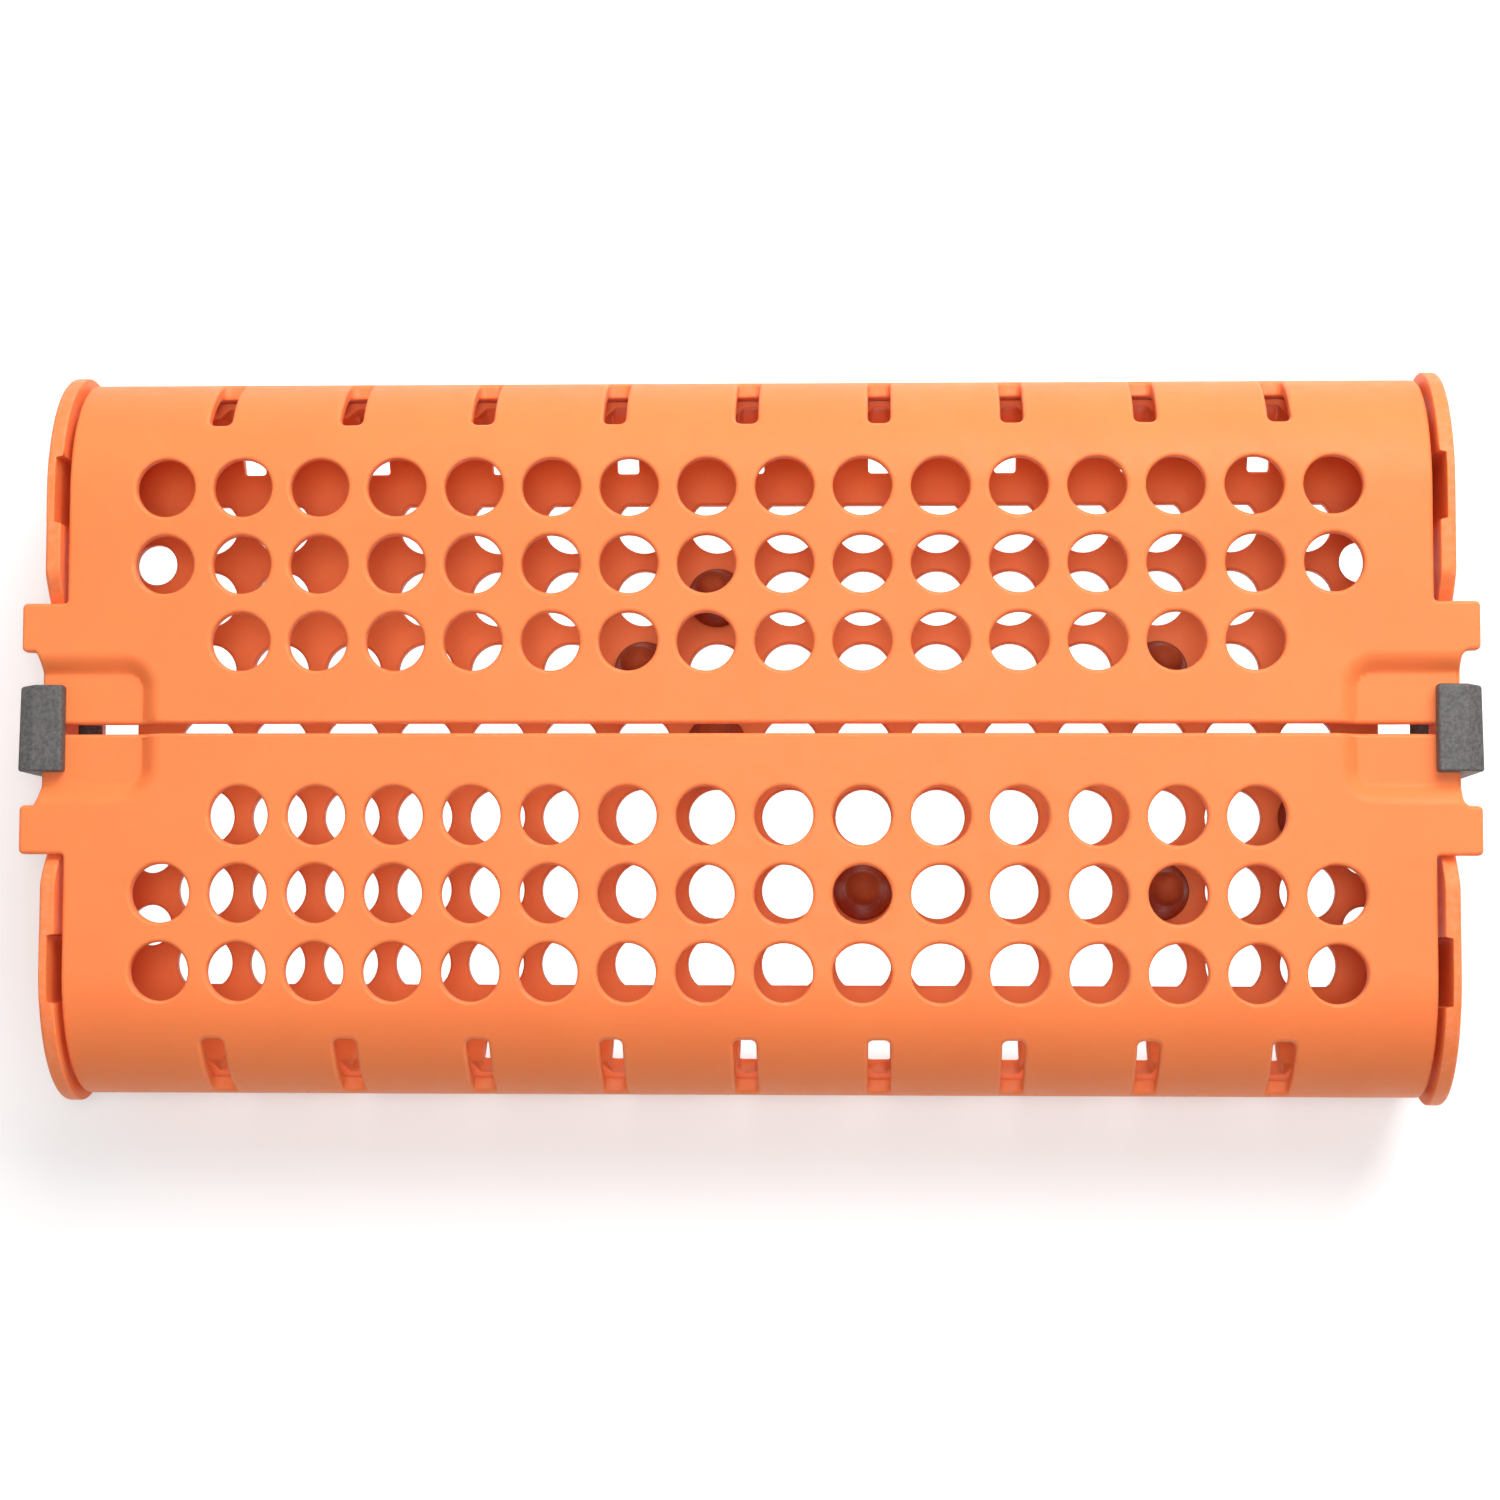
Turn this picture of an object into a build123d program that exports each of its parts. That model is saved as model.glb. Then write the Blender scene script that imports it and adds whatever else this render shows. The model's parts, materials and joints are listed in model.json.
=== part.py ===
"""Perforated sterilising cassette for dental hand instruments, in millimetres.

A long tub stands on its two end plates. Two perforated doors cover it and meet at a narrow slit
along the middle. Each door is a flat roof that runs into a quarter-round shell, and it turns
about stub pins in the end plates, so that the shell rolls round the outside of the tub and under
the floor while the roof swings up and outwards. A latch at each end hooks over the tongues of
both doors, and posts in the floor holes keep the instruments apart.

X runs along the cassette, Y across it and Z up. The origin is the middle of its base.
"""
from build123d import *
from math import atan2, ceil, cos, degrees, radians, sin, sqrt
import os

# Hole grid, shared by the doors and the floor
PITCH = 11.0  # between neighbouring holes, both ways
COLUMNS = 16
HOLE_D = 8.3
HOLE_SIDES = 8  # each round hole and post is drawn with this many flats

# Cross-section
PIVOT_Y = 34.0  # hinge axis from the centre line
PLATE_R = 19.0  # round sides of the end plates, also the height of the hinge axis
DOOR_STEP = 1.1  # the doors lie this far inside the edge of the end plates
DOOR_T = 2.2
ROLL_GAP = 0.5  # between a door's shell and the tub wall that it rolls round
TUB_T = 2.0
SLIT = 1.4  # between the two doors
DOOR_LIP_DEG = 8.0  # how far a door's shell reaches below the hinge axis
SHELL_STEP_DEG = 15.0  # the quarter-round shells are drawn with a flat for each such angle

# Lengthwise
INSIDE_L = 194.2  # between the end plates
PLATE_T = 2.2
END_GAP = 0.8  # between a door and an end plate

# Door holes and slots
DOOR_ROW_Y = 12.3  # first row of door holes from the centre line
DOOR_ROWS = 3
SLOTS = 9
SLOT_PITCH = 18.857
DOOR_SLOT_W = 3.2
DOOR_SLOT_START = 9.7  # inner end of a door slot, outwards of the hinge axis
DOOR_SLOT_LEDGE = 3.8  # ledge that closes a door slot below, above the hinge axis
SLOT_CORNER = 0.8  # bevel on the inner corners of a door slot

# Ends of a door's roof: a tab to lift it by and a lowered tongue for the latch
TAB_REACH = 3.4  # past the outer face of the end plate
TAB_NEAR = 10.9
TAB_FAR = 17.8
TAB_CORNER_R = 0.6
TAB_BEVEL = 0.5  # along the lower far edge of a tab, which swings past the end plate
TONGUE_REACH = 0.8  # past the outer face of the end plate
TONGUE_ROOT_R = 1.5  # inside corner between tongue and tab
RECESS = 2.0  # the tongue lies this far below the roof
RECESS_L = 10.0  # flat bottom of the recess, from the door's end
RECESS_Y = 8.0
RECESS_FLARE = 2.0  # how far its sloping sides spread up to the roof
RECESS_R = 1.5
RECESS_WALL = 1.0  # extra width of the lowered stretch seen from below

# Door hinges: an ear at each end, with a boss that lies in a groove and a stub pin in a bore
EAR_T = 2.4
BOSS_R = 4.7
STUB_R = 2.0
STUB_FIT = 0.06  # radial running clearance
STUB_SHORT = 0.2  # the stub ends this far inside the plate's outer face
GROOVE_W = 9.9
GROOVE_DEPTH = 1.0
BOSS_GAP = 0.3
EAR_GAP = 0.35  # between an ear and the tub wall beside it
EAR_NOTCH_DEG = 26.0  # the wall beside an ear ends this far below the hinge axis

# Top of the end plates
SWING_GAP = 0.35  # between a plate's shoulder and the tab that swings past it
REST_GAP = 0.3  # between a closed door and the plate below it
TONGUE_SIDE_GAP = 0.5

# Floor
FLOOR_ROWS = 3  # on each side of the middle row
HOLE_CUT = 2.1  # the outermost holes are cut off straight, this far outwards of the hinge axis
BLANK_HOLES = ((2, 2), (2, 3))  # column and row of holes that are left closed
TUB_SLOT_W = 3.3
TUB_SLOT = (6.7, 13.4)  # its two ends, outwards of the hinge axis
END_HOLE_D = 6.1
END_HOLE_INSET = 6.4  # from the end plate
END_HOLE_Y = (16.4, 27.3)
SINK_L = 3.9  # opening in the floor under a latch's barrel
SINK_DEPTH = 0.9  # how far that opening runs into the end plate

# Latches, each turning about a pin across the end plate
LATCH_W = 12.3
HOOK_L = 5.9  # from its tip to the outer face of the leg
HOOK_T = 2.4
LEG_T = 2.2
LATCH_GAP = 0.3  # from the tongues, above them and past their ends
HINGE_Z = 15.5
BARREL_R = 2.0
PIN_R = 0.75
PIN_FIT = 0.05  # radial running clearance in the barrel
PIN_PRESS = 0.01  # radial interference in the lugs
PIN_SHORT = 0.2
WINDOW_GAP = 0.35
WINDOW_RISE = 10.2  # upper edge of the latch window, above the latch's hinge axis
LUG_R = 2.2
LUG_W = 2.8
LATCH_CORNER_R = 0.7

# Posts: column and row of the floor hole that each stands in
POSTS = ((9, -2), (13, -2), (15, -1), (7, 2), (6, 1), (13, 1), (7, 0))
POST_H = 15.0
POST_BASE_R = 4.45
POST_TIP_R = 2.6
POST_DOME_RINGS = 3  # the domed tip is drawn with this many rings
POST_FIT = 0.05
POST_LIP_R = 4.9
POST_LIP_T = 1.0

# How far a cutter runs past what it cuts, and a joined shape into its neighbour
OVER = 1.0

# Worked out from the sizes above
PIVOT_Z = PLATE_R
PLATE_IN = INSIDE_L / 2
PLATE_OUT = PLATE_IN + PLATE_T
DOOR_R = PLATE_R - DOOR_STEP
DOOR_R_IN = DOOR_R - DOOR_T
DOOR_TOP = PIVOT_Z + DOOR_R
DOOR_UNDER = PIVOT_Z + DOOR_R_IN
DOOR_X = PLATE_IN - END_GAP
EAR_X = DOOR_X - EAR_T
TUB_R = DOOR_R_IN - ROLL_GAP
TUB_R_IN = TUB_R - TUB_T
FLOOR_BOTTOM = PIVOT_Z - TUB_R
FLOOR_TOP = PIVOT_Z - TUB_R_IN
FLAT_Y = PIVOT_Y + HOLE_CUT
TAB_X = PLATE_OUT + TAB_REACH
TONGUE_X = PLATE_OUT + TONGUE_REACH
RECESS_X = DOOR_X - RECESS_L
TONGUE_TOP = DOOR_TOP - RECESS
TONGUE_UNDER = DOOR_UNDER - RECESS
SHOULDER_Z = DOOR_UNDER - REST_GAP
SEAT_Z = TONGUE_UNDER - REST_GAP
SEAT_Y = RECESS_Y + RECESS_FLARE + RECESS_WALL + TONGUE_SIDE_GAP
SHOULDER_R = (PIVOT_Y - TAB_FAR + DOOR_R_IN + TAB_BEVEL) / sqrt(2) - SWING_GAP
HOOK_UNDER = TONGUE_TOP + LATCH_GAP
HOOK_TOP = HOOK_UNDER + HOOK_T
LEG_IN = TONGUE_X + LATCH_GAP
LEG_OUT = LEG_IN + LEG_T
HINGE_X = (PLATE_IN + PLATE_OUT) / 2
LEG_REACH = LEG_OUT - HINGE_X  # a latch's foot swings round the pin at this radius
WINDOW_HALF = LATCH_W / 2 + WINDOW_GAP


def column_x(column):
    return (column - (COLUMNS - 1) / 2) * PITCH


def slot_x(number):
    return (number - (SLOTS - 1) / 2) * SLOT_PITCH


def along_x(section, x0, x1):
    """A section drawn as (Y, Z), carried from x0 to x1."""
    return extrude(Plane.YZ.offset(x0) * section, amount=x1 - x0)


def block(x, y, z):
    """A box from its low and high X, Y and Z."""
    return Pos((x[0] + x[1]) / 2, (y[0] + y[1]) / 2, (z[0] + z[1]) / 2) * Box(
        x[1] - x[0], y[1] - y[0], z[1] - z[0]
    )


def disc(radius, y, z):
    return Pos(y, z) * Circle(radius)


def rectangle(across, up):
    """A rectangle from its low and high coordinate in each direction of a sketch."""
    centre = Pos((across[0] + across[1]) / 2, (up[0] + up[1]) / 2)
    return centre * Rectangle(across[1] - across[0], up[1] - up[0])


def ring_sector(outer, inner, low, high):
    """Part of a ring about the rear hinge axis, in flats from the high angle down to the low one."""
    steps = ceil((high - low) / SHELL_STEP_DEG)
    angles = [radians(max(low, high - step * SHELL_STEP_DEG)) for step in range(steps + 1)]
    outside = [(PIVOT_Y + outer * cos(angle), PIVOT_Z + outer * sin(angle)) for angle in angles]
    inside = [(PIVOT_Y + inner * cos(angle), PIVOT_Z + inner * sin(angle)) for angle in angles]
    return make_face(Polyline(outside + inside[::-1], close=True))


def both_sides(shape):
    return shape + shape.mirror(Plane.XZ)


def both_ends(shape):
    return shape + shape.mirror(Plane.YZ)


def flat_sided(radius):
    """The outline of a round hole or post, with its flats at the given radius."""
    return RegularPolygon(radius, HOLE_SIDES, major_radius=False, rotation=180 / HOLE_SIDES)


def across_y(radius, y, x=HINGE_X, z=HINGE_Z):
    """A cylinder along Y about a latch's hinge axis, from its low and high Y."""
    turned = Pos(x, (y[0] + y[1]) / 2, z) * Rot(90, 0, 0)
    return turned * Cylinder(radius, y[1] - y[0])


def tub_walls():
    """Floor and both quarter-round walls in one section, with the walls cut back at the ears."""
    side = ring_sector(TUB_R, TUB_R_IN, -90, 0)
    section = rectangle((-PIVOT_Y, PIVOT_Y), (FLOOR_BOTTOM, FLOOR_TOP)) + side
    section += side.mirror(Plane.YZ)
    walls = along_x(section, -PLATE_IN, PLATE_IN)
    notch = ring_sector(TUB_R + OVER, TUB_R_IN - OVER, -EAR_NOTCH_DEG, SHELL_STEP_DEG)
    return walls - both_ends(both_sides(along_x(notch, EAR_X - EAR_GAP, PLATE_IN)))


def floor_holes():
    """The outline of every grid hole in the floor."""
    cap = Pos(0, -FLOOR_ROWS * PITCH) * Rectangle(2 * HOLE_D, 2 * FLAT_Y)
    holes = []
    for column in range(COLUMNS):
        for row in range(-FLOOR_ROWS, FLOOR_ROWS + 1):
            if (column, row) in BLANK_HOLES:
                continue
            hole = flat_sided(HOLE_D / 2)
            if row == FLOOR_ROWS:
                hole &= cap
            elif row == -FLOOR_ROWS:
                hole = (hole & cap).mirror(Plane.XZ)
            holes.append(Pos(column_x(column), row * PITCH) * hole)
    return holes


def end_plate():
    """The plate at the +X end: round sides, a nose on each side of the tabs and a lowered seat."""
    outline = rectangle((-PIVOT_Y, PIVOT_Y), (0, 2 * PLATE_R))
    outline += [disc(PLATE_R, side * PIVOT_Y, PIVOT_Z) for side in (-1, 1)]
    open_top = rectangle((-PIVOT_Y, PIVOT_Y), (SHOULDER_Z, 2 * PLATE_R))
    open_top -= [disc(SHOULDER_R, side * PIVOT_Y, PIVOT_Z) for side in (-1, 1)]
    outline -= open_top
    outline -= rectangle((-SEAT_Y, SEAT_Y), (SEAT_Z, 2 * PLATE_R))
    return along_x(outline, PLATE_IN, PLATE_OUT)


def hinge_seat():
    """What is cut from the +X plate for the rear door's hinge: an open groove and a bore."""
    groove = disc(GROOVE_W / 2, PIVOT_Y, PIVOT_Z)
    groove += rectangle((PIVOT_Y - GROOVE_W / 2, PIVOT_Y + GROOVE_W / 2), (PIVOT_Z, 2 * PLATE_R + OVER))
    bore = disc(STUB_R + STUB_FIT, PIVOT_Y, PIVOT_Z)
    seat = along_x(groove, PLATE_IN - OVER, PLATE_IN + GROOVE_DEPTH)
    return seat + along_x(bore, PLATE_IN, PLATE_OUT + OVER)


def latch_seat():
    """What is cut from the +X plate for a latch: a window, an opening in the floor and an arch below."""
    window = (HINGE_Z - LEG_REACH - WINDOW_GAP, HINGE_Z + WINDOW_RISE)
    width = (-WINDOW_HALF, WINDOW_HALF)
    through = (PLATE_IN - OVER, PLATE_OUT + OVER)
    sink = block((PLATE_IN - SINK_L, PLATE_IN + SINK_DEPTH), width, (0, window[0] + OVER))
    return sink + block(through, width, window) + block(through, width, (-OVER, FLOOR_TOP))


def latch_lugs():
    """Two round lugs beside the window at the +X end, bored for the latch pin."""
    lugs = across_y(LUG_R, (WINDOW_HALF, WINDOW_HALF + LUG_W))
    lugs += lugs.mirror(Plane.XZ)
    return lugs


def make_tub():
    body = tub_walls() + both_ends(end_plate() + latch_lugs())
    openings = floor_holes()
    end_hole = flat_sided(END_HOLE_D / 2)
    for end in (-1, 1):
        x = end * (PLATE_IN - END_HOLE_INSET)
        openings += [Pos(x, side * y) * end_hole for y in END_HOLE_Y for side in (-1, 1)]
    slot_y = (PIVOT_Y + TUB_SLOT[0], PIVOT_Y + TUB_SLOT[1])
    slot = rectangle((-TUB_SLOT_W / 2, TUB_SLOT_W / 2), slot_y)
    for number in range(SLOTS):
        openings += [Pos(slot_x(number)) * outline for outline in (slot, slot.mirror(Plane.XZ))]
    body -= [extrude(opening, amount=PIVOT_Z) for opening in openings]
    body -= both_ends(both_sides(hinge_seat()))
    body -= both_ends(latch_seat())
    reach = WINDOW_HALF + LUG_W
    body -= both_ends(across_y(PIN_R - PIN_PRESS, (-reach - OVER, reach + OVER)))
    return body


def recess_step(z0, z1, widen):
    """The lowered stretch at the +X end of the rear door, spreading from z0 up to z1."""

    def outline(spread, z):
        far_x, far_y = RECESS_X - widen - spread, RECESS_Y + widen + spread
        corner = RECESS_R + spread
        plan = Polyline((TAB_X + OVER, SLIT / 2), (far_x, SLIT / 2), (far_x, far_y - corner))
        bend = RadiusArc(plan @ 1, (far_x + corner, far_y), corner)
        back = Polyline(bend @ 1, (TAB_X + OVER, far_y), (TAB_X + OVER, SLIT / 2))
        return Pos(0, 0, z) * make_face([plan, bend, back])

    return loft([outline(0, z0), outline(RECESS_FLARE, z1)])


def roof_end():
    """Tab and tongue at the +X end of the rear door, at the roof's own level."""
    tab = rectangle((DOOR_X - OVER, TAB_X), (TAB_NEAR, TAB_FAR))
    tab = fillet(tab.vertices().group_by(Axis.X)[-1], TAB_CORNER_R)
    plan = tab + rectangle((DOOR_X - OVER, TONGUE_X), (SLIT / 2, TAB_NEAR))
    root = plan.vertices().sort_by_distance((TONGUE_X, TAB_NEAR, 0))[0]
    plan = fillet(root, TONGUE_ROOT_R)
    bevel = [(TAB_FAR - TAB_BEVEL, 0), (TAB_FAR, 0), (TAB_FAR, TAB_BEVEL)]
    roof = extrude(plan, amount=DOOR_T)
    roof -= along_x(make_face(Polyline(bevel, close=True)), DOOR_X - OVER, TAB_X)
    return Pos(0, 0, DOOR_UNDER) * roof


def door_hinge():
    """Ear, boss and stub pin at the +X end of the rear door."""
    ear = disc(BOSS_R, PIVOT_Y, PIVOT_Z)
    ear += rectangle((PIVOT_Y - BOSS_R, PIVOT_Y + BOSS_R), (PIVOT_Z, DOOR_UNDER + OVER))
    boss_x = PLATE_IN + GROOVE_DEPTH - BOSS_GAP
    hinge = along_x(ear, EAR_X, DOOR_X)
    hinge += along_x(disc(BOSS_R, PIVOT_Y, PIVOT_Z), DOOR_X, boss_x)
    return hinge + along_x(disc(STUB_R, PIVOT_Y, PIVOT_Z), boss_x, PLATE_OUT - STUB_SHORT)


def door_openings():
    """Every hole and slot of the rear door, as cutters."""
    cutters = []
    for row in range(DOOR_ROWS):
        ends = 1 if row == 0 else 0
        for column in range(ends, COLUMNS - ends):
            place = Pos(column_x(column), DOOR_ROW_Y + row * PITCH, PIVOT_Z)
            cutters.append(place * extrude(flat_sided(HOLE_D / 2), amount=PLATE_R))
    slot_y = (PIVOT_Y + DOOR_SLOT_START, PIVOT_Y + PLATE_R)
    slot = rectangle((-DOOR_SLOT_W / 2, DOOR_SLOT_W / 2), slot_y)
    slot = chamfer(slot.vertices().group_by(Axis.Y)[0], SLOT_CORNER)
    for number in range(SLOTS):
        place = Pos(slot_x(number), 0, PIVOT_Z + DOOR_SLOT_LEDGE)
        cutters.append(place * extrude(slot, amount=PLATE_R))
    return cutters


def make_rear_door():
    section = rectangle((SLIT / 2, PIVOT_Y), (DOOR_UNDER, DOOR_TOP))
    section += ring_sector(DOOR_R, DOOR_R_IN, -DOOR_LIP_DEG, 90)
    below = recess_step(TONGUE_UNDER, DOOR_UNDER, RECESS_WALL)
    below &= block((0, TONGUE_X), (0, PIVOT_Y), (0, 2 * PLATE_R))
    door = along_x(section, -DOOR_X, DOOR_X) + both_ends(roof_end() + below + door_hinge())
    door -= both_ends(recess_step(TONGUE_TOP, DOOR_TOP, 0))
    return door - door_openings()


def make_latch():
    """The latch at the +X end, from one side section carried across its width."""
    hook = rectangle((LEG_OUT - HOOK_L, LEG_OUT), (HOOK_UNDER, HOOK_TOP))
    leg = rectangle((LEG_IN, LEG_OUT), (HINGE_Z, HOOK_TOP))
    foot = rectangle((HINGE_X, LEG_OUT), (HINGE_Z, HINGE_Z + BARREL_R))
    heel = Pos(HINGE_X, HINGE_Z) * Ellipse(LEG_REACH, BARREL_R)
    heel &= rectangle((HINGE_X, LEG_OUT), (HINGE_Z - BARREL_R, HINGE_Z))
    section = hook + leg + foot + heel + Pos(HINGE_X, HINGE_Z) * Circle(BARREL_R)
    top = section.vertices().sort_by_distance((LEG_OUT, HOOK_TOP, 0))[0]
    section = fillet(top, LATCH_CORNER_R)
    section -= Pos(HINGE_X, HINGE_Z) * Circle(PIN_R + PIN_FIT)
    return extrude(Plane.XZ.offset(-LATCH_W / 2) * section, amount=LATCH_W)


def make_latch_pin():
    reach = WINDOW_HALF + LUG_W - PIN_SHORT
    return across_y(PIN_R, (-reach, reach))


def post_ring(low, high):
    """One stretch of a post, tapering between two levels that are given as radius and height."""
    taper = degrees(atan2(low[0] - high[0], high[1] - low[1]))
    return Pos(0, 0, low[1]) * extrude(flat_sided(low[0]), amount=high[1] - low[1], taper=taper)


def make_post():
    """A tapered post with a domed tip, whose neck fills a floor hole above a retaining lip."""
    tip = FLOOR_TOP + POST_H
    dome = [radians(90 / POST_DOME_RINGS * ring) for ring in range(POST_DOME_RINGS)]
    levels = [(POST_BASE_R, FLOOR_TOP)]
    levels += [(POST_TIP_R * cos(angle), tip - POST_TIP_R * (1 - sin(angle))) for angle in dome]
    post = Pos(0, 0, FLOOR_BOTTOM - POST_LIP_T) * extrude(flat_sided(POST_LIP_R), amount=POST_LIP_T)
    post += Pos(0, 0, FLOOR_BOTTOM) * extrude(flat_sided(HOLE_D / 2 - POST_FIT), amount=TUB_T)
    for low, high in zip(levels, levels[1:]):
        post += post_ring(low, high)
    return post


def half_turn(shape):
    return shape.rotate(Axis.Z, 180)


def save(name, shape):
    solids = shape.solids()
    export_step(solids[0] if len(solids) == 1 else Compound(children=solids), f"parts/{name}.step")


os.makedirs("parts", exist_ok=True)
save("tub", make_tub())
rear_door = make_rear_door()
save("door_rear", rear_door)
save("door_front", half_turn(rear_door))
latch = make_latch()
save("latch_right", latch)
save("latch_left", half_turn(latch))
latch_pin = make_latch_pin()
save("latch_pin_right", latch_pin)
save("latch_pin_left", half_turn(latch_pin))
post = make_post()
for number, (column, row) in enumerate(POSTS, 1):
    save(f"post_{number}", Pos(column_x(column), row * PITCH) * post)
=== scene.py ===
"""A perforated cassette for dental hand instruments, dressed for rendering.

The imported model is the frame: every piece here is fitted to it and rides on one of its bodies. Doors, tub,
end plates and latches are sheets: a flat domain with an outline and openings, carried to its place in the
cassette by one function, with its edges rounded by a rim that follows every outline. Posts, pins and hinge
parts are turned. Lengths are in metres.
"""
import json
from math import pi, radians, sqrt

import bpy
import numpy as np
from bpy.props import FloatProperty, FloatVectorProperty, IntProperty, PointerProperty
from mathutils.geometry import delaunay_2d_cdt
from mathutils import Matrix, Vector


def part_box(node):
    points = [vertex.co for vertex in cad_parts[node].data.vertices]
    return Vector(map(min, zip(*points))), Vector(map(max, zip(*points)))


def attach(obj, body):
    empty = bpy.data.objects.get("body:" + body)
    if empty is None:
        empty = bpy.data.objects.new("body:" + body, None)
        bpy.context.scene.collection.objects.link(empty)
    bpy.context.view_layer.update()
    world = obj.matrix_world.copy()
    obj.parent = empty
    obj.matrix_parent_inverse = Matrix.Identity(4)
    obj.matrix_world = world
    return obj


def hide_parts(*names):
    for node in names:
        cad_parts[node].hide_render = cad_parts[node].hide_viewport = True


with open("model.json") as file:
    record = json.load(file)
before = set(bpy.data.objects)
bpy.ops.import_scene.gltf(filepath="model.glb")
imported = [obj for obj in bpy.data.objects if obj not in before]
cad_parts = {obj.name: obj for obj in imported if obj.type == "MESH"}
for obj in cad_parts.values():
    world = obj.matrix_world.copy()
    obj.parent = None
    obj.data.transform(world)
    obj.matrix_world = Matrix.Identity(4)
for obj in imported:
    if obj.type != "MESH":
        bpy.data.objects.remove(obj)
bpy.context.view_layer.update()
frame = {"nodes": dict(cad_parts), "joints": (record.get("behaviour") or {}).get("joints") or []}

bl_info = {
    "name": "Instrument cassette",
    "version": (1, 0, 0),
    "blender": (4, 5, 0),
    "location": "View3D > Sidebar > Cassette",
    "description": "Builds the tub, doors, latches and posts of a roll-over instrument cassette",
    "category": "Object",
}

MM = 0.001

# Places that the frame gives
HINGE = {joint["child"]: joint["pos_m"] for joint in frame["joints"]}
PIVOT_Y, PIVOT_Z = HINGE["door_rear"][1:]
PIN_X, _, PIN_Z = HINGE["latch_right"]
LID_LOW, LID_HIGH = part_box("door_rear")
LATCH_LOW, LATCH_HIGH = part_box("latch_right")
ROD_LOW, ROD_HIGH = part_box("latch_pin_right")
TUB_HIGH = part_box("tub")[1]
SLIT_HALF = LID_LOW.y
PLATE_R = TUB_HIGH.y - PIVOT_Y
LID_R = LID_HIGH.y - PIVOT_Y
POSTS = sorted(node for node in frame["nodes"] if node.startswith("post_"))
POST_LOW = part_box(POSTS[0])[0]

# Places of the floor's grid that have no hole: column from the left, and row from the middle
BLANKS = ((2, 2), (2, 3))

# Camera of the photograph, solved from the hole grids of the doors and the floor; its turn is in degrees
LENS = 76.4608
CAMERA_PLACE = (0.018839, -0.03469, 0.482179)
CAMERA_TURN = (4.05906, 2.31163, 0.15359)


def length(name, description, default):
    """A size in metres; its default is given in millimetres."""
    return FloatProperty(name=name, description=description, default=default * MM, unit="LENGTH")


def tint(name, description, default):
    """A colour as linear values."""
    return FloatVectorProperty(name=name, description=description, default=default, subtype="COLOR",
                               min=0, max=1)


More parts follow.
